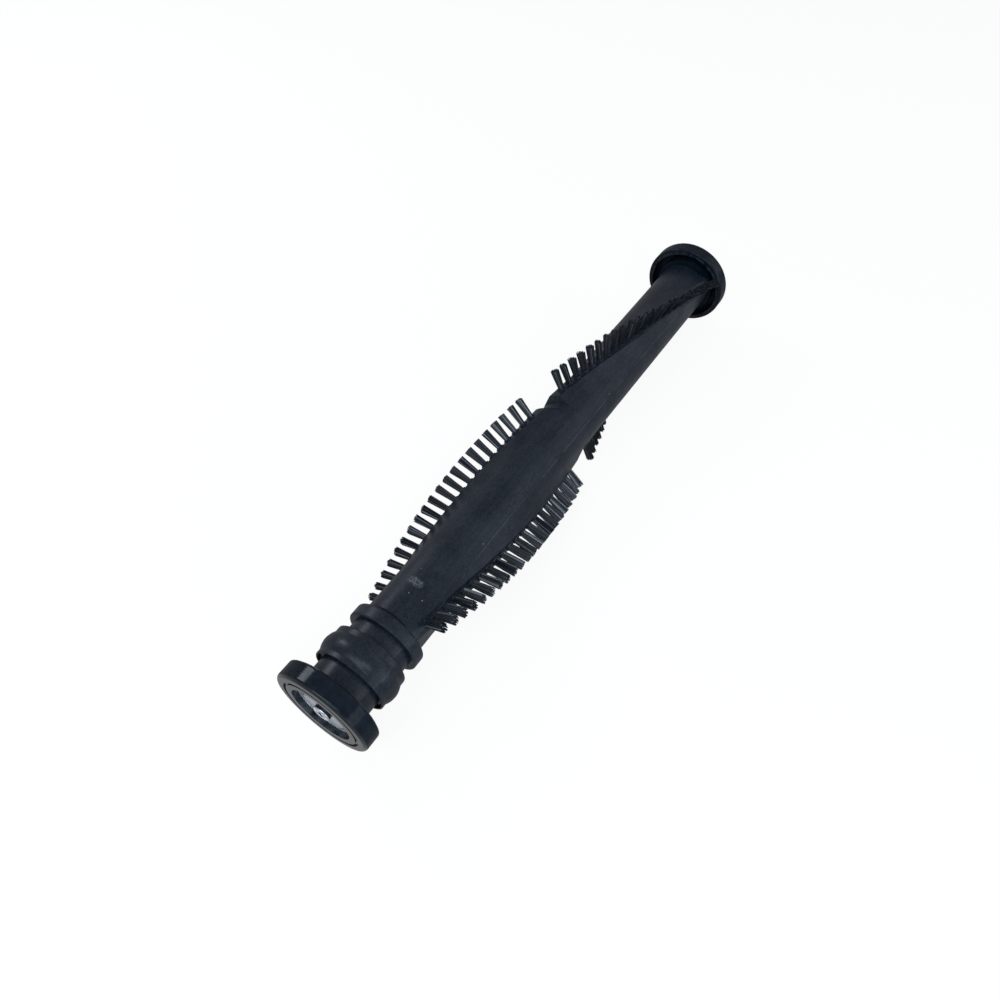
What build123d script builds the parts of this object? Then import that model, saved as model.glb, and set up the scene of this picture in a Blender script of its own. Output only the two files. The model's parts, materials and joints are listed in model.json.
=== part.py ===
from build123d import *
import math
import os

# Vacuum agitator brush: a moulded roller with a belt pulley, two opposite twisted ridges
# set with nylon tufts, and an end cap on a shielded ball bearing at each end.
# The roller turns about X. The origin is at mid length on that axis, the pulley is at
# the -X end (drive end), and stations are measured from the drive cap's outer face.

# Overall size
overall_length = 300.0

# End cap: a cup that is keyed in the nozzle and holds the bearing
cap_diameter = 42.0
cap_width = 8.3
cap_plate = 3.2
cap_skirt_wall = 2.5
cap_face_round = 1.5
cap_rear_round = 0.8
skirt_lip = 0.8
skirt_step = 0.5
cap_hub_wall = 2.0
cap_lip = 1.2
cap_lip_height = 2.0
recess_depth = 2.2
recess_step = 0.4
face_groove_diameter = 33.4
face_groove_width = 1.2
face_groove_depth = 0.6

# Bearing: thin section, shielded on both sides
bearing_bore = 17.0
bearing_outside = 26.0
bearing_width = 5.0
ring_wall = 1.4
ball_diameter = 2.6
ball_count = 8
ball_clearance = 0.05
cage_wall = 0.9
cage_width = 3.5
pocket_clearance = 0.1
shield_thickness = 0.4
shield_set_in = 0.15
shield_bite = 0.6
shield_gap = 0.35

# Washer and screw that hold the inner ring on the journal
washer_diameter = 18.4
washer_thickness = 0.5
washer_hole = 3.9
screw_diameter = 3.5
screw_length = 14.0
screw_head_diameter = 7.4
screw_head_height = 1.5
screw_head_round = 0.6
cross_length = 4.2
cross_width = 1.0
cross_depth = 0.9
pilot_spare = 0.6
clamp_gap = 0.1

# Roller moulding
run_gap = 0.4
spigot_step = 1.1
neck_diameter = 26.6
pulley_start = 15.7
pulley_width = 13.2
pulley_rim_diameter = 31.8
pulley_near_rim = 2.2
pulley_far_rim = 2.8
pulley_crown_rise = 1.2
pulley_undercut_depth = 1.2
pulley_undercut_wall = 0.7
pulley_blend = 1.0
pulley_near_round = 0.2
pulley_far_round = 0.5
second_neck_diameter = 26.3
collar_start = 34.8
collar_width = 5.1
collar_diameter = 31.7
collar_bevel = 2.2
collar_edge_round = 0.5
collar_bevel_round = 0.8
core_diameter = 26.0
skin_depth = 0.2
break_skin_depth = 0.05
break_overlap = 0.3

# Ridges: helical, opposite each other, broken at mid length
ridge_diameter = 31.2
ridge_crest_width = 6.0
ridge_twist = 0.756
ridge_angle_mid = 43.0
ridge_bury = 0.6
ridge_break_start = 165.0
ridge_break = 4.5
ridge_run_out = 3.6
ridge_step = 1.2
ridge_end_gap = 0.8
section_spacing = 12.0

# Tufts
tuft_pitch = 5.12
tuft_width = 2.6
tuft_tip_width = 3.4
tuft_sides = 8
hole_rim_width = 3.5
hole_rim_base = 4.3
hole_rim_height = 0.5
hole_rim_bury = 0.8
tuft_seat_depth = 6.0
sweep_diameter = 51.6
first_tuft_from_collar = 7.7
tuft_margin = 1.4
first_tuft_from_break = 6.2
last_tuft_from_end = 5.4

# Modelling allowances
edge_tolerance = 0.01
cutter_spare = 2.0

# Worked-out radii
cap_radius = cap_diameter / 2
bearing_radius = bearing_outside / 2
journal_radius = bearing_bore / 2
pitch_radius = (bearing_bore + bearing_outside) / 4
inner_ring_radius = journal_radius + ring_wall
outer_ring_bore = bearing_radius - ring_wall
spigot_radius = journal_radius + spigot_step
hub_radius = bearing_radius + cap_hub_wall
core_radius = core_diameter / 2
ridge_radius = ridge_diameter / 2

# Worked-out stations, from the outer face of a cap inwards
bearing_face = recess_depth
bearing_back = recess_depth + bearing_width
hub_end = bearing_back + cap_lip
roller_end = hub_end + run_gap
journal_end = bearing_face + clamp_gap
washer_face = bearing_face - washer_thickness
head_face = washer_face - screw_head_height
screw_tip = washer_face + screw_length

# Worked-out stations along the roller
pulley_end = pulley_start + pulley_width
crown_start = pulley_start + pulley_near_rim
crown_end = pulley_end - pulley_far_rim
collar_end = collar_start + collar_width
drive_ridge_start = collar_end - ridge_bury
free_ridge_start = ridge_break_start + ridge_break
free_ridge_end = overall_length - roller_end - ridge_end_gap
drive_row_start = collar_end + first_tuft_from_collar
drive_row_end = ridge_break_start - ridge_run_out - tuft_margin
free_row_start = free_ridge_start + first_tuft_from_break
free_row_end = free_ridge_end - last_tuft_from_end

# A little more than any outside radius, for cutters that reach past the part
clear_radius = max(ridge_radius, cap_radius) + cutter_spare


def axial(station):
    """X of a station measured from the drive cap's outer face."""
    return station - overall_length / 2


def turned(outline):
    """Solid of revolution about X from (station, radius) corners."""
    corners = [(axial(station), radius) for station, radius in outline]
    return revolve(make_face(Polyline(*corners, close=True)), Axis.X)


def ring(start, end, inner_radius, outer_radius):
    """Plain ring of rectangular section about X."""
    return turned(
        [(start, inner_radius), (end, inner_radius), (end, outer_radius), (start, outer_radius)]
    )


def round_edge(solid, station, radius):
    """Circular edge of a turned solid at a station, with a given radius."""
    place = axial(station)
    circles = solid.edges().filter_by(GeomType.CIRCLE)
    here = circles.filter_by_position(Axis.X, place - edge_tolerance, place + edge_tolerance)
    return here.filter_by(lambda edge: abs(edge.radius - radius) < edge_tolerance)


def end_cap():
    """Cup with a bearing hub; its grooved outer face is recessed round the bearing."""
    skirt_bore = cap_radius - cap_skirt_wall
    groove_inner = (face_groove_diameter - face_groove_width) / 2
    groove_outer = (face_groove_diameter + face_groove_width) / 2
    cap = turned(
        [
            (0, bearing_radius + recess_step),
            (0, groove_inner),
            (face_groove_depth, groove_inner),
            (face_groove_depth, groove_outer),
            (0, groove_outer),
            (0, cap_radius),
            (cap_width - skirt_step, cap_radius),
            (cap_width - skirt_step, skirt_bore + skirt_lip),
            (cap_width, skirt_bore + skirt_lip),
            (cap_width, skirt_bore),
            (cap_plate, skirt_bore),
            (cap_plate, hub_radius),
            (hub_end, hub_radius),
            (hub_end, bearing_radius - cap_lip_height),
            (bearing_back, bearing_radius - cap_lip_height),
            (bearing_back, bearing_radius),
            (bearing_face, bearing_radius),
            (bearing_face, bearing_radius + recess_step),
        ]
    )
    cap = fillet(round_edge(cap, 0, cap_radius), cap_face_round)
    return fillet(round_edge(cap, cap_width - skirt_step, cap_radius), cap_rear_round)


def bearing():
    """Both rings, the ball set, the cage and the two shields of one bearing."""
    middle = bearing_face + bearing_width / 2
    centre = Pos(axial(middle), 0, 0)
    ball_radius = ball_diameter / 2
    groove = centre * Rot(0, 90, 0) * Torus(pitch_radius, ball_radius + ball_clearance)
    outer = ring(bearing_face, bearing_back, outer_ring_bore, bearing_radius) - groove
    inner = ring(bearing_face, bearing_back, journal_radius, inner_ring_radius) - groove

    seat_radius = outer_ring_bore + shield_bite
    seat_depth = shield_set_in + shield_thickness
    shield_bore = inner_ring_radius + shield_gap
    outer -= ring(bearing_face, bearing_face + seat_depth, outer_ring_bore, seat_radius)
    outer -= ring(bearing_back - seat_depth, bearing_back, outer_ring_bore, seat_radius)
    shield_start = bearing_face + shield_set_in
    shield_end = bearing_back - shield_set_in
    outer_shield = ring(shield_start, shield_start + shield_thickness, shield_bore, seat_radius)
    inner_shield = ring(shield_end - shield_thickness, shield_end, shield_bore, seat_radius)

    spots = [Rot(360 / ball_count * i, 0, 0) for i in range(ball_count)]
    balls = [centre * spot * Pos(0, 0, pitch_radius) * Sphere(ball_radius) for spot in spots]
    cage = ring(
        middle - cage_width / 2,
        middle + cage_width / 2,
        pitch_radius - cage_wall / 2,
        pitch_radius + cage_wall / 2,
    )
    pocket = Cylinder(ball_radius + pocket_clearance, 4 * cage_wall)
    for spot in spots:
        cage -= centre * spot * Pos(0, 0, pitch_radius) * pocket
    return {
        "bearing_outer_ring": outer,
        "bearing_inner_ring": inner,
        "bearing_balls": Compound(children=balls),
        "bearing_cage": cage,
        "bearing_outer_shield": outer_shield,
        "bearing_inner_shield": inner_shield,
    }


def washer():
    """Flat washer that bears on the bearing's inner ring."""
    return ring(washer_face, bearing_face, washer_hole / 2, washer_diameter / 2)


def screw():
    """Pan-head screw with a cross recess, driven into the journal."""
    head = ring(head_face, washer_face, 0, screw_head_diameter / 2)
    rim = head.faces().sort_by(Axis.X)[0].edges()
    head = fillet(rim, screw_head_round)
    blade = Pos(axial(head_face + cross_depth / 2), 0, 0) * Box(cross_depth, cross_length, cross_width)
    head -= [blade, Rot(90, 0, 0) * blade]
    return head + ring(washer_face, screw_tip, 0, screw_diameter / 2)


def row_angle(station):
    """Angle of the first ridge about X, from +Y towards +Z, at a station."""
    return ridge_angle_mid + ridge_twist * axial(station)


def polar(radius, degrees):
    """Point in a section plane, with the first ridge at zero degrees."""
    return (radius * math.cos(math.radians(degrees)), radius * math.sin(math.radians(degrees)))


def ridge_section(station):
    """Section across the ridges: two crests joined to the round core by tangent flanks."""
    crest = math.degrees(math.asin(ridge_crest_width / 2 / ridge_radius))
    root = crest + math.degrees(math.acos(core_radius / ridge_radius))
    lines = []
    for turn in (0, 180):
        top = [polar(ridge_radius, turn + a) for a in (-crest, 0, crest)]
        side = [polar(core_radius, turn + a) for a in (root, 90, 180 - root)]
        next_crest = polar(ridge_radius, turn + 180 - crest)
        lines += [ThreePointArc(*top), Line(top[2], side[0]), ThreePointArc(*side), Line(side[2], next_crest)]
    angle = math.radians(row_angle(station))
    plane = Plane((axial(station), 0, 0), x_dir=(0, math.cos(angle), math.sin(angle)), z_dir=(1, 0, 0))
    return plane * make_face(lines)


def ridged_length(start, end):
    """Twisted stretch of the roller between two stations."""
    spans = math.ceil((end - start) / section_spacing)
    return loft([ridge_section(start + (end - start) * i / spans) for i in range(spans + 1)])


def tuft_prism(station, turn, span, widths):
    """Many-sided solid that stands out along a radius of the roller between two radii.

    The two widths are across its flats at its inner and outer end.
    """
    inner, outer = span
    first, last = widths
    angle = math.radians(row_angle(station) + turn)
    out = Vector(0, math.cos(angle), math.sin(angle))
    plane = Plane(Vector(axial(station), 0, 0) + out * inner, x_dir=(1, 0, 0), z_dir=out)
    section = plane * RegularPolygon(first / 2, tuft_sides, major_radius=False)
    taper = math.degrees(math.atan2(first - last, 2 * (outer - inner)))
    return extrude(section, outer - inner, taper=taper)


def row_stations(start, end):
    """Tuft stations along a row, at the pitch, as many as fit."""
    count = int((end - start) / tuft_pitch) + 1
    return [start + tuft_pitch * i for i in range(count)]


tuft_floor = ridge_radius - tuft_seat_depth
tuft_mouth = ridge_radius + hole_rim_height
drive_stations = row_stations(drive_row_start, drive_row_end)
free_stations = row_stations(free_row_start, free_row_end)


def tuft(station, turn):
    """Bundle that fills its hole and spreads from there to its cut tip."""
    seat = tuft_prism(station, turn, (tuft_floor, tuft_mouth), (tuft_width, tuft_width))
    spread = tuft_prism(station, turn, (tuft_mouth, sweep_diameter / 2), (tuft_width, tuft_tip_width))
    return seat + spread


def tuft_row(stations, turn):
    """One row of tufts, from the hole floors out to the sweep diameter."""
    return Compound(children=[tuft(s, turn) for s in stations])


def roller_spine():
    """Turned parts of the moulding: journals, necks, pulley, collar and core."""
    rim = pulley_rim_diameter / 2
    neck = neck_diameter / 2
    collar = collar_diameter / 2
    inner_core = core_radius - skin_depth
    break_core = core_radius - break_skin_depth
    far = overall_length
    outline = [
        (journal_end, 0),
        (journal_end, journal_radius),
        (bearing_back, journal_radius),
        (bearing_back, spigot_radius),
        (roller_end, spigot_radius),
        (roller_end, neck),
        (pulley_start + pulley_undercut_depth, neck),
        (pulley_start + pulley_undercut_depth, rim - pulley_undercut_wall),
        (pulley_start, rim - pulley_undercut_wall),
        (pulley_start, rim),
        (pulley_end, rim),
        (pulley_end, second_neck_diameter / 2),
        (collar_start, second_neck_diameter / 2),
        (collar_start, collar),
        (collar_end, collar),
        (collar_end + collar_bevel, inner_core),
        (ridge_break_start - break_overlap, inner_core),
        (ridge_break_start - break_overlap, break_core),
        (free_ridge_start + break_overlap, break_core),
        (free_ridge_start + break_overlap, inner_core),
        (far - roller_end, inner_core),
        (far - roller_end, spigot_radius),
        (far - bearing_back, spigot_radius),
        (far - bearing_back, journal_radius),
        (far - journal_end, journal_radius),
        (far - journal_end, 0),
    ]
    return turned(outline)


def belt_crown():
    """Rounded crown between the pulley's two rims, which keeps the belt centred."""
    rim = pulley_rim_diameter / 2
    start = axial(crown_start)
    end = axial(crown_end)
    foot = rim - pulley_undercut_wall
    arc = ThreePointArc((start, rim), ((start + end) / 2, rim + pulley_crown_rise), (end, rim))
    base = Polyline((end, rim), (end, foot), (start, foot), (start, rim))
    return revolve(make_face([arc, base]), Axis.X)


def rounded_edges(spine):
    """Rounds the edges of the pulley and collar, and blends the crown into its rims."""
    rim = pulley_rim_diameter / 2
    collar = collar_diameter / 2
    edge_rounds = [
        (pulley_start, rim, pulley_near_round),
        (crown_start, rim, pulley_blend),
        (crown_end, rim, pulley_blend),
        (pulley_end, rim, pulley_far_round),
        (collar_start, collar, collar_edge_round),
        (collar_end, collar, collar_bevel_round),
    ]
    for station, radius, size in edge_rounds:
        spine = fillet(round_edge(spine, station, radius), size)
    return spine


def run_out(high, low):
    """Cone cutter that brings a ridge down to the core between two stations."""
    past = 2 * low - high
    return turned([(high, ridge_radius), (low, core_radius), (past, clear_radius), (high, clear_radius)])


def roller():
    """Whole moulding, with the pilot holes and a rimmed hole for every tuft."""
    body = rounded_edges(roller_spine() + belt_crown())
    body += ridged_length(drive_ridge_start, ridge_break_start)
    body += ridged_length(free_ridge_start, free_ridge_end)
    break_low = ridge_break_start
    body -= run_out(break_low - ridge_run_out, break_low)
    body -= run_out(free_ridge_start + ridge_step, free_ridge_start)
    body -= ring(journal_end, screw_tip + pilot_spare, 0, screw_diameter / 2)
    body -= ring(overall_length - screw_tip - pilot_spare, overall_length - journal_end, 0, screw_diameter / 2)
    rim_span = (ridge_radius - hole_rim_bury, tuft_mouth)
    hole_span = (tuft_floor, clear_radius)
    spots = [(s, turn) for s in drive_stations + free_stations for turn in (0, 180)]
    body += [tuft_prism(*spot, rim_span, (hole_rim_base, hole_rim_width)) for spot in spots]
    return body - [tuft_prism(*spot, hole_span, (tuft_width, tuft_width)) for spot in spots]


os.makedirs("parts", exist_ok=True)

nodes = {
    "roller_body": roller(),
    "drive_half_tufts_a": tuft_row(drive_stations, 0),
    "drive_half_tufts_b": tuft_row(drive_stations, 180),
    "free_half_tufts_a": tuft_row(free_stations, 0),
    "free_half_tufts_b": tuft_row(free_stations, 180),
}
end_pieces = {"end_cap": end_cap(), "washer": washer(), "screw": screw(), **bearing()}
for name, piece in end_pieces.items():
    nodes["drive_" + name] = piece
    nodes["free_" + name] = mirror(piece, Plane.YZ)

for name, piece in nodes.items():
    export_step(piece, f"parts/{name}.step")
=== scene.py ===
# %% [markdown]
# # A vacuum cleaner's agitator brush
# The real thing is a moulded roller that a belt spins inside a floor nozzle. Two twisted ridges
# carry rows of nylon tufts, and each end turns in a ball bearing inside a cup-shaped cap.
# The shapes of the hard pieces come from the CAD model, which is loaded first as a fixed frame.
# The start-up scene's own objects are deleted before that, so that nothing of it shows.

# %% Load the CAD model
import json
import math
import random
import bmesh
import bpy
from mathutils import Matrix, Vector

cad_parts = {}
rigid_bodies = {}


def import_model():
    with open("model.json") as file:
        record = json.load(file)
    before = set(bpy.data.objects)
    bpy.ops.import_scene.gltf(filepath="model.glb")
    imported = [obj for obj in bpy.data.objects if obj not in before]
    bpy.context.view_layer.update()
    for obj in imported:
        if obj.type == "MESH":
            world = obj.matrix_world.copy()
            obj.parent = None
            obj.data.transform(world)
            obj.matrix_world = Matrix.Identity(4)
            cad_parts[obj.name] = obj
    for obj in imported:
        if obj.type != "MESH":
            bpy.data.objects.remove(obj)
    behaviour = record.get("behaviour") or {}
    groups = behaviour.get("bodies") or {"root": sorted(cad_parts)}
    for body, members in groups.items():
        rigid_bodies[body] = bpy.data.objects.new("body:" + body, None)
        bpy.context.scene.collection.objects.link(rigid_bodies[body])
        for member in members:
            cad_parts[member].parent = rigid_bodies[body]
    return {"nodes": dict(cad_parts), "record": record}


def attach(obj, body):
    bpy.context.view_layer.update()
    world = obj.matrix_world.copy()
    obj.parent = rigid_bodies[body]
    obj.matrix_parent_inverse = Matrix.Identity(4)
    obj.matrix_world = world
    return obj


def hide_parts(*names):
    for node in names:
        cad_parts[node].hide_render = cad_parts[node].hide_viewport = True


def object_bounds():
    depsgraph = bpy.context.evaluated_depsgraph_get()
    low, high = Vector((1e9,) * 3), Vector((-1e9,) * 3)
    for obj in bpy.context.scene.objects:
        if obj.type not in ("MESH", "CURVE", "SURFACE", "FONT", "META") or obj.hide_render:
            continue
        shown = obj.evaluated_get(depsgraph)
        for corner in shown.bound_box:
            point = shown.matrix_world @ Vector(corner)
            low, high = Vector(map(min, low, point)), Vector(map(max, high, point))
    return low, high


for leftover in list(bpy.data.objects):
    bpy.data.objects.remove(leftover)
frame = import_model()
nodes = frame["nodes"]
bpy.context.view_layer.update()
cad_low, cad_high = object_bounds()
MM = 0.001
print("CAD nodes:", len(nodes), "box in mm:", [round(v / MM, 1) for v in (*cad_low, *cad_high)])

# %% [markdown]
# ## The camera
# A camera can be guessed by eye, or fitted to known shapes. This one was fitted: both caps are
# circles of the same size, so their two ellipses in the picture give the lens and the pose.
# The three direction vectors become the columns of the camera's rotation.

# %% Place the camera
CAMERA_SPOT = Vector((-204.5, -115.1, 273.6)) * MM
CAMERA_RIGHT = Vector((0.5605, -0.8282, 0.0))
CAMERA_UP = Vector((0.662, 0.448, 0.6009))
CAMERA_LENS = 28.6
CAMERA_SHIFT = (-0.001, 0.0008)

camera_data = bpy.data.cameras.new("camera")
camera_data.lens = CAMERA_LENS
camera_data.sensor_width = 36.0
camera_data.shift_x, camera_data.shift_y = CAMERA_SHIFT
camera_data.clip_start = 0.01
camera = bpy.data.objects.new("camera", camera_data)
bpy.context.scene.collection.objects.link(camera)
turned = Matrix((CAMERA_RIGHT, CAMERA_UP, CAMERA_RIGHT.cross(CAMERA_UP))).transposed()
camera.matrix_world = Matrix.Translation(CAMERA_SPOT) @ turned.normalized().to_4x4()
bpy.context.scene.camera = camera
bpy.context.scene.view_settings.view_transform = "Standard"
print("camera looks along", [round(v, 3) for v in camera.matrix_world.to_3x3() @ Vector((0, 0, -1))])

# %% [markdown]
# ## Arithmetic for finishes
# A finish is a network of nodes. Drawing it by hand is slow to read, so a small class wraps a
# node's output and lets plain Python operators add the Math nodes. One method adds any other node.

# %% Sockets that do arithmetic
class Value:
    """One output of a node. Operators on it add Math nodes to its finish."""

    def __init__(self, finish, socket):
        self.finish = finish
        self.socket = socket

    def math(self, operation, *others):
        terms = dict(enumerate((self, *others)))
        return self.finish.node("ShaderNodeMath", {"operation": operation}, terms)

    def __add__(self, other):
        return self.math("ADD", other)

    def __sub__(self, other):
        return self.math("SUBTRACT", other)

    def __rsub__(self, other):
        return self.finish.node("ShaderNodeMath", {"operation": "SUBTRACT"}, {0: other, 1: self})

    def __mul__(self, other):
        return self.math("MULTIPLY", other)

    def __truediv__(self, other):
        return self.math("DIVIDE", other)

    __radd__ = __add__
    __rmul__ = __mul__

    def rise(self, low, high):
        """0 below low, 1 above high, and a smooth step between them."""
        return self.finish.node(
            "ShaderNodeMapRange", {"interpolation_type": "SMOOTHSTEP"}, {0: self, 1: low, 2: high}
        )


class Finish:
    """The node network of a material, or of the world."""

    def __init__(self, owner):
        owner.use_nodes = True
        self.owner = owner
        self.tree = owner.node_tree
        self.tree.nodes.clear()

    def node(self, kind, settings, sockets, output=0):
        """Adds any node: its settings are set first, then its sockets get values or links."""
        made = self.tree.nodes.new(kind)
        for name, setting in settings.items():
            setattr(made, name, setting)
        for key, value in sockets.items():
            if isinstance(value, Value):
                self.tree.links.new(value.socket, made.inputs[key])
            else:
                made.inputs[key].default_value = value
        return Value(self, made.outputs[output]) if made.outputs else None

    def point(self):
        """The point's Object coordinates, which are the CAD's own."""
        return self.node("ShaderNodeTexCoord", {}, {}, "Object")

    def place(self):
        """The point's Object coordinates, and the same as x, y and z."""
        point = self.point()
        axes = [self.node("ShaderNodeSeparateXYZ", {}, {0: point}, axis) for axis in range(3)]
        return point, *axes

    def noise(self, point, size, detail=3.0, stretch=(1.0, 1.0, 1.0)):
        """Soft noise with features of about that size, drawn out along an axis by its stretch."""
        scale = [1.0 / (size * share) for share in stretch]
        moved = self.node("ShaderNodeMapping", {}, {"Vector": point, "Scale": scale})
        return self.node("ShaderNodeTexNoise", {}, {"Vector": moved, "Scale": 1.0, "Detail": detail})

    def mix(self, share, first, second):
        """A colour between two, by a share from 0 to 1."""
        sockets = {0: share}
        for key, colour in ((6, first), (7, second)):
            sockets[key] = colour if isinstance(colour, Value) else (*colour, 1.0)
        return self.node("ShaderNodeMix", {"data_type": "RGBA"}, sockets, 2)

    def bump(self, height, strength, distance):
        return self.node(
            "ShaderNodeBump", {}, {"Height": height, "Strength": strength, "Distance": distance}
        )

    def surface(self, sockets):
        """The shader itself, with the sockets that aren't at their defaults."""
        shader = self.node("ShaderNodeBsdfPrincipled", {}, sockets)
        self.node("ShaderNodeOutputMaterial", {}, {"Surface": shader})
        return self.owner


def new_finish(name):
    return Finish(bpy.data.materials.new(name))


print("finish tools ready")

# %% [markdown]
# ## Roller plastic
# The roller is a dark charcoal moulding with a fine matt grain. It could be one flat colour, but the
# real one has faint mottling and flow lines along its length, a mould parting line, a pale scuff and
# a few specks. All of that is placed by Object coordinates, which are the CAD's own metres.
# A matt moulding doesn't mirror much at its edges, so the base has no specular layer of its own
# and a thin, rough coat gives all of the sheen.

# %% Finish of the roller
PARTING_ANGLE = 145.0
PARTING_HALF_WIDTH = 0.16
# Marks on the roller: X in mm, angle about X, and half sizes along and across in mm
SCUFF = (-92.3, 89.0, 2.6, 4.8)
SPECKS = [
    (-97.1, 119.0, 0.45, 0.45),
    (-97.7, 93.7, 0.4, 0.4),
    (-86.5, 81.4, 0.3, 0.3),
    (40.6, 141.4, 0.35, 0.35),
    (-61.5, 138.3, 0.4, 0.4),
]


def near(x, y, z, mark):
    """1 in the middle of a mark, falling smoothly to 0 at its edge."""
    station, angle, half_length, half_width = mark
    cosine, sine = math.cos(math.radians(angle)), math.sin(math.radians(angle))
    along = (x - station * MM) / (half_length * MM)
    across = (z * cosine - y * sine) / (half_width * MM)
    apart = (along * along + across * across).math("SQRT")
    outward = y * cosine + z * sine
    return (1 - apart.rise(0.3, 1.0)) * outward.math("GREATER_THAN", 0.0)


def parting_line(y, z):
    """1 on the two lines where the mould's halves met, 0 beside them."""
    angle = math.radians(PARTING_ANGLE)
    apart = (z * math.cos(angle) - y * math.sin(angle)).math("ABSOLUTE")
    return 1 - apart.rise(0.4 * PARTING_HALF_WIDTH * MM, PARTING_HALF_WIDTH * MM)


def roller_plastic():
    finish = new_finish("roller_plastic")
    point, x, y, z = finish.place()
    mottle = finish.noise(point, 1.6 * MM, 4.0)
    cloud = finish.noise(point, 11.0 * MM, 2.0)
    grain = finish.noise(point, 0.55 * MM, 2.0)
    flow = finish.noise(point, 1.1 * MM, 2.0, stretch=(18.0, 1.0, 1.0))
    line = parting_line(y, z) * cloud.rise(0.42, 0.6)

    pale = near(x, y, z, SCUFF) * (mottle * 0.5 + grain * 0.5).rise(0.34, 0.74) * 0.42
    for mark in SPECKS:
        pale = pale.math("MAXIMUM", near(x, y, z, mark) * 0.36)

    tone = mottle * 0.3 + cloud * 0.25 + flow * 0.15 + grain * 0.5
    colour = finish.mix(tone.rise(0.4, 0.85), (0.0022, 0.0042, 0.0078), (0.0145, 0.0198, 0.0288))
    colour = finish.mix(line * 0.5, colour, (0.07, 0.08, 0.095))
    colour = finish.mix(pale, colour, (0.3, 0.32, 0.34))
    height = grain * 0.6 + mottle * 0.4 + line * 2.0
    return finish.surface(
        {
            "Base Color": colour,
            "Roughness": 0.44 + mottle * 0.16 + pale * 0.2,
            "Specular IOR Level": 0.0,
            "Coat Weight": 0.18 + cloud * 0.08 + flow * 0.06,
            "Coat Roughness": 0.34,
            "Normal": finish.bump(height, 0.35, 0.00006),
        }
    )


ROLLER_PLASTIC = roller_plastic()
print("roller finish:", len(ROLLER_PLASTIC.node_tree.nodes), "nodes")

# %% [markdown]
# ## Cap plastic
# The caps are the same charcoal but moulded against polished steel, so they have a smoother and
# stronger coat, which draws a sharp streak on the wall. Their faces carry fine dark pits. Within the
# cup the coat is mostly cut away as painted shade, so it looks matt and dark, and the two edges of
# its lip carry painted highlight lines. The outer face is the smoothest, and the bearing's seat is
# painted paler as painted light.

# %% Finish of the caps
# Radii of the cap, distances of its faces from the roller's mid length and widths of blends, in mm
CUP_BORE = 18.4
CUP_FLOOR = 146.85
LIP_EDGES = (18.5, 19.3)
LIP_FACE = 142.3
SEAT_BORE = 13.46
SEAT_FACE = 147.75
OUTER_FACE = 149.3
FACE_BLEND = 0.4
# Widths of the painted highlight lines on the lip's edges, in mm
LIP_HIGHLIGHT_WIDTHS = (0.08, 0.22)


def cap_plastic():
    finish = new_finish("cap_plastic")
    point, x, y, z = finish.place()
    mottle = finish.noise(point, 3.2 * MM, 3.0)
    grain = finish.noise(point, 0.4 * MM, 2.0)
    pits = 1 - grain.rise(0.28, 0.4)
    radius = (y * y + z * z).math("SQRT")
    outward = x.math("ABSOLUTE")
    # Painted shade: within the cup the coat is cut by seven tenths, so the hollow looks shaded
    cup_shade = radius.math("LESS_THAN", CUP_BORE * MM) * outward.math("LESS_THAN", CUP_FLOOR * MM)
    # Painted light: the bearing's seat in the recess is painted paler, as if lit
    lit_seat = radius.math("LESS_THAN", SEAT_BORE * MM) * outward.math("GREATER_THAN", SEAT_FACE * MM)
    face = outward.rise((OUTER_FACE - FACE_BLEND) * MM, OUTER_FACE * MM)
    lip = outward.math("LESS_THAN", LIP_FACE * MM)
    # Painted highlight: thin pale lines on both edges of the lip, where they would catch the light
    highlight_low, highlight_high = LIP_HIGHLIGHT_WIDTHS
    edge = [(radius - r * MM).math("ABSOLUTE").rise(highlight_low * MM, highlight_high * MM) for r in LIP_EDGES]
    lip_highlight = (1 - edge[0] * edge[1]) * lip
    colour = finish.mix(mottle.rise(0.3, 0.75), (0.003, 0.0058, 0.0102), (0.0052, 0.009, 0.015))
    colour = finish.mix(pits * 0.6, colour, (0.0015, 0.0025, 0.004))
    colour = finish.mix(lip_highlight * mottle.rise(0.4, 0.6) * 0.25, colour, (0.09, 0.1, 0.115))
    # Painted light on the bearing's seat
    colour = finish.mix(lit_seat * mottle.rise(0.2, 0.7), colour, (0.036, 0.043, 0.052))
    return finish.surface(
        {
            "Base Color": colour,
            "Roughness": 0.3 + mottle * 0.1 + pits * 0.1,
            "Specular IOR Level": 0.0,
            "Coat Weight": (0.1 + face * 0.28 + mottle * 0.08 - pits * 0.12) * (1 - cup_shade * 0.7),
            "Coat Roughness": 0.14,
            "Normal": finish.bump(grain - pits * 0.5, 0.15, 0.00004),
        }
    )


CAP_PLASTIC = cap_plastic()
print("cap finish:", len(CAP_PLASTIC.node_tree.nodes), "nodes")

# %% [markdown]
# ## Steels
# The bearing, washer and screw are bright steel. Turned and ground steel has fine rings round its
# axis, so the noise is read along the radius alone; plated pieces are mottled instead.

# %% Finishes of the steel pieces
# Blend width in mm of the painted shade in the cap's recess
RECESS_SHADE_BLEND = 0.15


def ground_steel(name, colour_low, colour_high, rough, ring_size):
    """Steel with fine rings about the roller's axis."""
    finish = new_finish(name)
    point, x, y, z = finish.place()
    radius = (y * y + z * z).math("SQRT")
    ring_point = finish.node("ShaderNodeCombineXYZ", {}, {0: radius, 1: x, 2: 0.0})
    rings = finish.noise(ring_point, ring_size, 3.0)
    film = finish.noise(point, 2.2 * MM, 3.0)
    colour = finish.mix((rings * 0.6 + film * 0.4).rise(0.3, 0.7), colour_low, colour_high)
    return finish.surface(
        {
            "Base Color": colour,
            "Metallic": 1.0,
            "Roughness": rough + film * 0.16 + rings * 0.06,
            "Normal": finish.bump(rings, 0.15, 0.00003),
        }
    )


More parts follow.
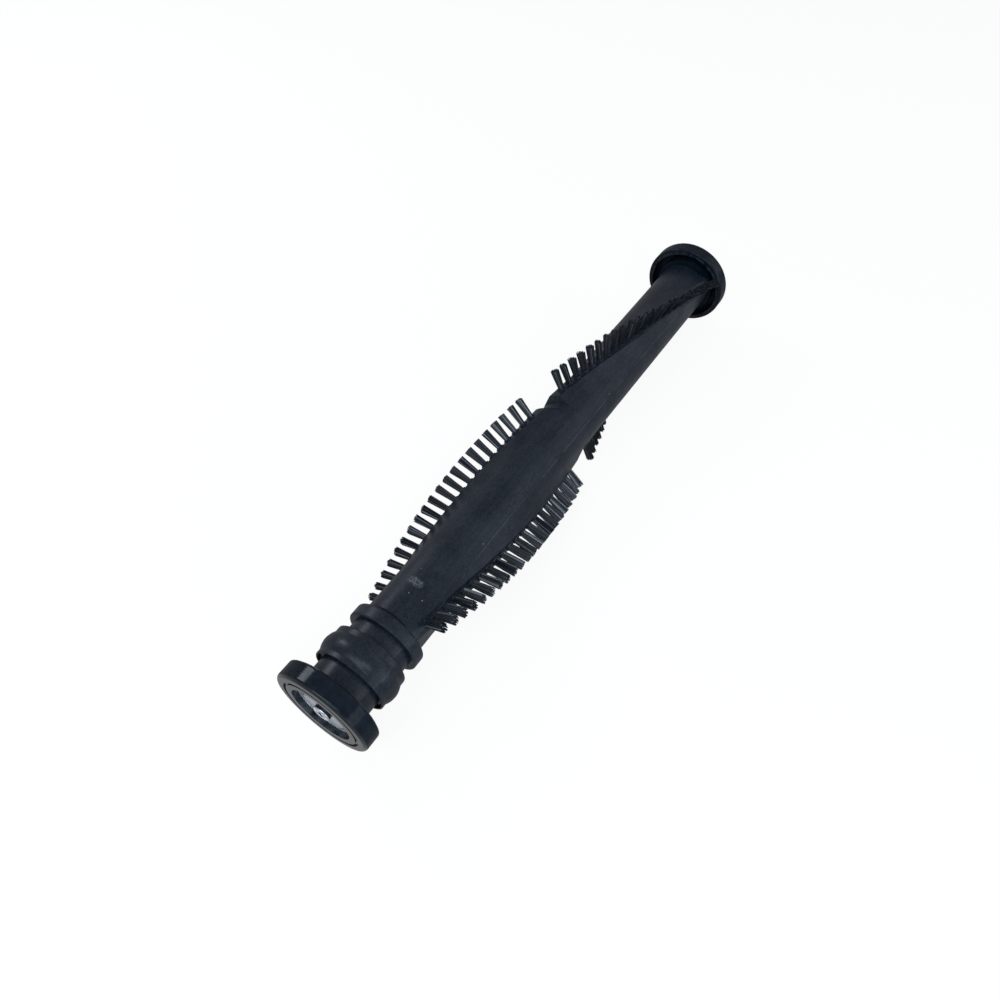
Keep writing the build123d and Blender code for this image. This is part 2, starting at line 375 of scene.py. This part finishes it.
def plated_steel(name, colour_low, colour_high, rough, shade_level):
    """Plated steel with a mottled bloom, and painted shade where it lies deeper than a level in the cap."""
    finish = new_finish(name)
    point, x, _, _ = finish.place()
    bloom = finish.noise(point, 1.3 * MM, 4.0)
    scratch = finish.noise(point, 0.25 * MM, 2.0, stretch=(1.0, 9.0, 1.0))
    colour = finish.mix((bloom * 0.7 + scratch * 0.3).rise(0.3, 0.7), colour_low, colour_high)
    low, high = shade_level - RECESS_SHADE_BLEND, shade_level + RECESS_SHADE_BLEND
    # Painted shade: darker where the piece lies deeper in the cap's recess
    recess_shade = 1 - x.math("ABSOLUTE").rise(low * MM, high * MM)
    colour = finish.mix(recess_shade, colour, (0.03, 0.034, 0.04))
    return finish.surface(
        {
            "Base Color": colour,
            "Metallic": 1.0,
            "Roughness": rough + bloom * 0.2,
            "Normal": finish.bump(scratch * 0.6 + bloom * 0.4, 0.2, 0.00004),
        }
    )


STEELS = {
    "bearing_steel": ground_steel("bearing_steel", (0.62, 0.65, 0.69), (0.78, 0.81, 0.85), 0.14, 0.12 * MM),
    "shield_steel": ground_steel("shield_steel", (0.2, 0.23, 0.26), (0.34, 0.38, 0.42), 0.3, 0.3 * MM),
    "ball_steel": ground_steel("ball_steel", (0.66, 0.68, 0.7), (0.78, 0.8, 0.82), 0.05, 0.5 * MM),
    "washer_steel": plated_steel("washer_steel", (0.12, 0.145, 0.17), (0.33, 0.37, 0.41), 0.24, 147.8),
    "screw_steel": plated_steel("screw_steel", (0.22, 0.255, 0.29), (0.46, 0.51, 0.56), 0.18, 149.3),
}
print("steel finishes:", ", ".join(STEELS))

# %% [markdown]
# ## Dress the CAD pieces
# Each node keeps its CAD shape and gets the finish that its record slot names.

# %% Give the nodes their finishes
finishes = {"roller_plastic": ROLLER_PLASTIC, "cap_plastic": CAP_PLASTIC, **STEELS}
for part in frame["record"]["subparts"]:
    if part["material_slot"] in finishes:
        nodes[part["node"]].material_slots[0].material = finishes[part["material_slot"]]

# %% [markdown]
# ## Nylon tufts
# A tuft is a bundle of straight black filaments, folded into its hole and cut level at the tips.
# The CAD has one solid per tuft. Hair particles could stand for the filaments, but real geometry
# also exports, so a few different tufts are built with bmesh and set along each row.
# A filament is a five-sided ring that is extruded twice, a little wider apart towards the tip.

# %% Finish of the filaments
def nylon():
    finish = new_finish("tuft_nylon")
    tone = finish.node("ShaderNodeAttribute", {"attribute_name": "tone"}, {}, "Fac")
    dust = finish.noise(finish.point(), 3.0 * MM, 2.0)
    shade = tone * (0.7 + dust * 0.6)
    colour = finish.mix(shade, (0.003, 0.0047, 0.0077), (0.2, 0.22, 0.245))
    return finish.surface(
        {
            "Base Color": colour,
            "Roughness": 0.4 + tone * 0.15,
            "Specular IOR Level": 0.0,
            "Coat Weight": 0.07 + tone * 0.15,
            "Coat Roughness": 0.3,
        }
    )


NYLON = nylon()
print("nylon finish:", len(NYLON.node_tree.nodes), "nodes")

# %% Build a few different tufts
FILAMENT_SPACING = 0.335
FILAMENT_RADIUS = 0.2
FILAMENT_SIDES = 5
FILAMENT_SHAKE = 0.03
TUFT_SEAT_RADIUS = 1.12
TUFT_ROOT = 14.6
TUFT_TIP = 25.75
TUFT_KINDS = 12
# u runs along the row and v across it. In mm: lean and shake of the tips, how far the cut lies below
# the tuft's full height, how uneven it is, and how close to that height a tip may come
LEAN_U, LEAN_V = 0.14, 0.2
TIP_SHAKE = 0.07
CUT_BACK = 0.2
CUT_UNEVEN = 0.08
TIP_LIMIT = 0.12
# As shares: spread of the tips, slope of the cut, strays and their reach, and where a filament bends
SPREAD_U, SPREAD_V = (1.3, 1.5), (1.55, 1.85)
CUT_SLANT = 0.09
STRAY_SHARE, STRAY_REACH = 0.03, 2.2
BEND_HEIGHT, BEND_SPREAD = 0.55, 0.495
# Paleness of a whole tuft, the share of pale filaments, and the paleness of those and of the dark ones
TUFT_TONE = (0.0, 0.14)
PALE_SHARE, PALE_TONE, DARK_TONE = 0.14, (0.3, 0.8), (0.0, 0.12)
random.seed(31)


def bundle_spots():
    """Places of the filaments in the hole: a packed pattern, a little shaken."""
    rows = int(TUFT_SEAT_RADIUS / FILAMENT_SPACING) + 1
    step = FILAMENT_SPACING * math.sqrt(3) / 2
    spots = []
    for row in range(-rows, rows + 1):
        for column in range(-rows, rows + 1):
            u = (column + 0.5 * (row % 2)) * FILAMENT_SPACING
            v = row * step
            if math.hypot(u, v) <= TUFT_SEAT_RADIUS:
                spots.append((u + random.gauss(0, FILAMENT_SHAKE), v + random.gauss(0, FILAMENT_SHAKE)))
    return spots


def add_filament(bm, tone_layer, rings, tone):
    """One filament through rings of (u, v, height), open at its root and closed at its tip."""
    first = bmesh.ops.create_circle(
        bm, segments=FILAMENT_SIDES, radius=FILAMENT_RADIUS * MM, cap_ends=False
    )["verts"]
    bmesh.ops.translate(bm, verts=first, vec=Vector(rings[0]) * MM)
    verts = list(first)
    edges = list({edge for vert in first for edge in vert.link_edges})
    for before, after in zip(rings, rings[1:]):
        grown = bmesh.ops.extrude_edge_only(bm, edges=edges)["geom"]
        new_verts = [g for g in grown if isinstance(g, bmesh.types.BMVert)]
        edges = [
            g for g in grown
            if isinstance(g, bmesh.types.BMEdge) and all(v in new_verts for v in g.verts)
        ]
        bmesh.ops.translate(bm, verts=new_verts, vec=(Vector(after) - Vector(before)) * MM)
        verts += new_verts
    bmesh.ops.contextual_create(bm, geom=edges)
    for vert in verts:
        vert[tone_layer] = tone


def build_tuft():
    """One tuft along +Z from the roller's axis, as a mesh."""
    bm = bmesh.new()
    tone_layer = bm.verts.layers.float.new("tone")
    lean_u, lean_v = random.gauss(0, LEAN_U), random.gauss(0, LEAN_V)
    spread_u, spread_v = random.uniform(*SPREAD_U), random.uniform(*SPREAD_V)
    tuft_tone = random.uniform(*TUFT_TONE)
    slant = random.uniform(-CUT_SLANT, CUT_SLANT)
    for u, v in bundle_spots():
        stray = STRAY_REACH if random.random() < STRAY_SHARE else 1.0
        tip_u = u * spread_u + lean_u + random.gauss(0, TIP_SHAKE) * stray
        tip_v = v * spread_v + lean_v + random.gauss(0, TIP_SHAKE) * stray
        height = TUFT_TIP - CUT_BACK + slant * tip_u - abs(random.gauss(0, CUT_UNEVEN)) * stray
        bend_u = u + (tip_u - u) * BEND_SPREAD
        bend_v = v + (tip_v - v) * BEND_SPREAD
        rings = [
            (u, v, TUFT_ROOT),
            (bend_u, bend_v, TUFT_ROOT + (height - TUFT_ROOT) * BEND_HEIGHT),
            (tip_u, tip_v, min(height, TUFT_TIP - TIP_LIMIT)),
        ]
        pale = random.uniform(*(PALE_TONE if random.random() < PALE_SHARE else DARK_TONE))
        add_filament(bm, tone_layer, rings, tuft_tone + pale)
    bmesh.ops.recalc_face_normals(bm, faces=bm.faces[:])
    mesh = bpy.data.meshes.new("tuft_kind")
    bm.to_mesh(mesh)
    bm.free()
    return mesh


tuft_kinds = [build_tuft() for kind in range(TUFT_KINDS)]
print("filaments in the first tuft:", len(tuft_kinds[0].vertices) // (3 * FILAMENT_SIDES))

# %% [markdown]
# The rows follow the ridges, so a tuft's angle about X grows with its station by the twist.
# Each tuft is one of the kinds, turned a little or half round so that neighbours differ. A folded
# bundle spreads more across the row than along it, so it isn't turned freely. Use has splayed one
# row more than the others, bent the far ends of the free half's rows back, and made the tufts near mid length
# pale with dust.

# %% Set the tufts along the four rows
TUFT_PITCH = 5.12
TUFT_TURN = math.radians(14)
RIDGE_ANGLE_MID = 43.0
RIDGE_TWIST = 0.756
TUFTS_IN_ROW = 22
TUFT_MIDDLE = 18.0
TUFT_TIP_ZONE = 23.0
TUFT_MOUTH = 16.1
# For each row: X of the first tuft and turn about X; how much wider its tufts are at root, middle and
# tip; paleness of the first and last tuft; and the lean of the last one in degrees
ROWS = {
    "drive_half_tufts_a": (-102.4, 0.0, (1.12, 1.12, 1.1), (0.5, 1.5), 0.0),
    "drive_half_tufts_b": (-102.4, 180.0, (1.3, 1.38, 1.25), (0.5, 1.5), 0.0),
    "free_half_tufts_a": (25.7, 0.0, (1.12, 1.12, 1.05), (0.5, 0.15), -8.0),
    "free_half_tufts_b": (25.7, 180.0, (1.12, 1.12, 1.05), (0.5, 0.15), -13.0),
}


def build_row(first, turn, widths, paleness, last_lean):
    """The filaments of one whole row as a mesh."""
    bm = bmesh.new()
    for index in range(TUFTS_IN_ROW):
        station = first + TUFT_PITCH * index
        angle = math.radians(RIDGE_ANGLE_MID + RIDGE_TWIST * station + turn)
        start = len(bm.verts)
        bm.from_mesh(random.choice(tuft_kinds))
        bm.verts.ensure_lookup_table()
        tuft = bm.verts[start:]
        root = [vert for vert in tuft if vert.co.z < TUFT_MIDDLE * MM]
        tips = [vert for vert in tuft if vert.co.z > TUFT_TIP_ZONE * MM]
        middle = [vert for vert in tuft if TUFT_MIDDLE * MM <= vert.co.z <= TUFT_TIP_ZONE * MM]
        for level, width in zip((root, middle, tips), widths):
            bmesh.ops.scale(bm, vec=(width, width, 1), verts=level)
        own_angle = random.choice((0, math.pi)) + random.uniform(-TUFT_TURN, TUFT_TURN)
        bmesh.ops.rotate(bm, matrix=Matrix.Rotation(own_angle, 3, "Z"), verts=tuft)
        share = index / (TUFTS_IN_ROW - 1)
        lean = Matrix.Rotation(math.radians(last_lean) * share, 3, "X")
        bmesh.ops.rotate(bm, cent=(0, 0, TUFT_MOUTH * MM), matrix=lean, verts=middle + tips)
        tone_layer = bm.verts.layers.float["tone"]
        for vert in tuft:
            vert[tone_layer] *= paleness[0] + (paleness[1] - paleness[0]) * share
        stand = Matrix.Rotation(angle - math.pi / 2, 4, "X")
        place = Matrix.Translation((station * MM, 0, 0)) @ stand
        bmesh.ops.transform(bm, matrix=place, verts=tuft)
    mesh = bpy.data.meshes.new("row")
    bm.to_mesh(mesh)
    bm.free()
    return mesh


for node_name, settings in ROWS.items():
    row_mesh = build_row(*settings)
    row_mesh.materials.append(NYLON)
    row_mesh.shade_smooth()
    row = bpy.data.objects.new(node_name.replace("tufts", "bristles"), row_mesh)
    bpy.context.scene.collection.objects.link(row)
    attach(row, "roller")
    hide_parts(node_name)
    print(row.name, "triangles:", sum(len(p.vertices) - 2 for p in row_mesh.polygons))
for kind in tuft_kinds:
    bpy.data.meshes.remove(kind)

# %% [markdown]
# ## Stage and light
# The brush lies over a plain white floor in a white world. Both show white to the camera and in
# reflections, while the light that falls on the brush stays at a plain level. A small panel behind
# draws the streak on the drive cap, broad ones at the side and in front lift the flanks, and one near
# the camera shows up the slopes that face the drive end.

# %% Floor
FLOOR_DROP = 0.4
FLOOR_RADIUS = 6.0
FLOOR_GLOW = 0.9


def seen_white(finish):
    """1 for rays from the camera, from reflections and through glass, 0 for the light itself."""
    kinds = ("Is Camera Ray", "Is Glossy Ray", "Is Transmission Ray")
    camera_ray, glossy, through = [finish.node("ShaderNodeLightPath", {}, {}, kind) for kind in kinds]
    return camera_ray.math("MAXIMUM", glossy).math("MAXIMUM", through)


def floor_finish():
    finish = new_finish("stage_white")
    paper = finish.node("ShaderNodeBsdfDiffuse", {}, {"Color": (0.9, 0.9, 0.9, 1.0)})
    glow = finish.node("ShaderNodeEmission", {}, {"Color": (1.0, 1.0, 1.0, 1.0), "Strength": 1.0})
    both = finish.node("ShaderNodeMixShader", {}, {0: seen_white(finish) * FLOOR_GLOW, 1: paper, 2: glow})
    finish.node("ShaderNodeOutputMaterial", {}, {"Surface": both})
    return finish.owner


bm = bmesh.new()
bmesh.ops.create_circle(bm, cap_ends=True, segments=96, radius=FLOOR_RADIUS)
bmesh.ops.translate(bm, verts=bm.verts[:], vec=(0, 0, cad_low.z - FLOOR_DROP * MM))
floor_mesh = bpy.data.meshes.new("stage_floor")
bm.to_mesh(floor_mesh)
bm.free()
floor_mesh.materials.append(floor_finish())
floor = bpy.data.objects.new("stage_floor", floor_mesh)
bpy.context.scene.collection.objects.link(floor)
print("floor at", round(cad_low.z / MM - FLOOR_DROP, 2), "mm")

# %% World and panels
WORLD_LIGHT = 0.3
PANEL_COLOUR = (0.84, 0.92, 1.0)
DRIVE_CAP = Vector((-146.0, 0.0, 0.0)) * MM


def panel(name, target, aim, distance, size, power):
    """Soft lamp in a direction from its target, facing it, with a width and a height."""
    lamp = bpy.data.lights.new(name, "AREA")
    lamp.shape = "RECTANGLE"
    lamp.size, lamp.size_y = size
    lamp.energy = power
    lamp.color = PANEL_COLOUR
    made = bpy.data.objects.new(name, lamp)
    bpy.context.scene.collection.objects.link(made)
    away = Vector(aim).normalized() * distance
    made.location = target + away
    made.rotation_euler = (-away).to_track_quat("-Z", "Y").to_euler()


sky = Finish(bpy.data.worlds.new("stage_world"))
strength = WORLD_LIGHT + seen_white(sky) * (1 - WORLD_LIGHT)
background = sky.node("ShaderNodeBackground", {}, {"Color": (1.0, 1.0, 1.0, 1.0), "Strength": strength})
sky.node("ShaderNodeOutputWorld", {}, {"Surface": background})
bpy.context.scene.world = sky.owner

panel("back_panel", DRIVE_CAP, (0.2, 0.8, 0.57), 0.9, (0.19, 0.28), 3.0)
panel("side_panel", Vector(), (0.62, -0.62, 0.46), 1.2, (1.0, 0.95), 3.5)
panel("front_panel", DRIVE_CAP, (-0.1, -0.96, 0.16), 1.1, (1.4, 0.5), 6.5)
panel("near_panel", DRIVE_CAP, (-0.5, -0.2, 0.84), 0.9, (1.1, 0.35), 8.0)

# %% [markdown]
# ## Size
# Blender must not change the object's size. The view layer is brought up to date at the end.

# %% Bring the view layer up to date
bpy.context.view_layer.update()
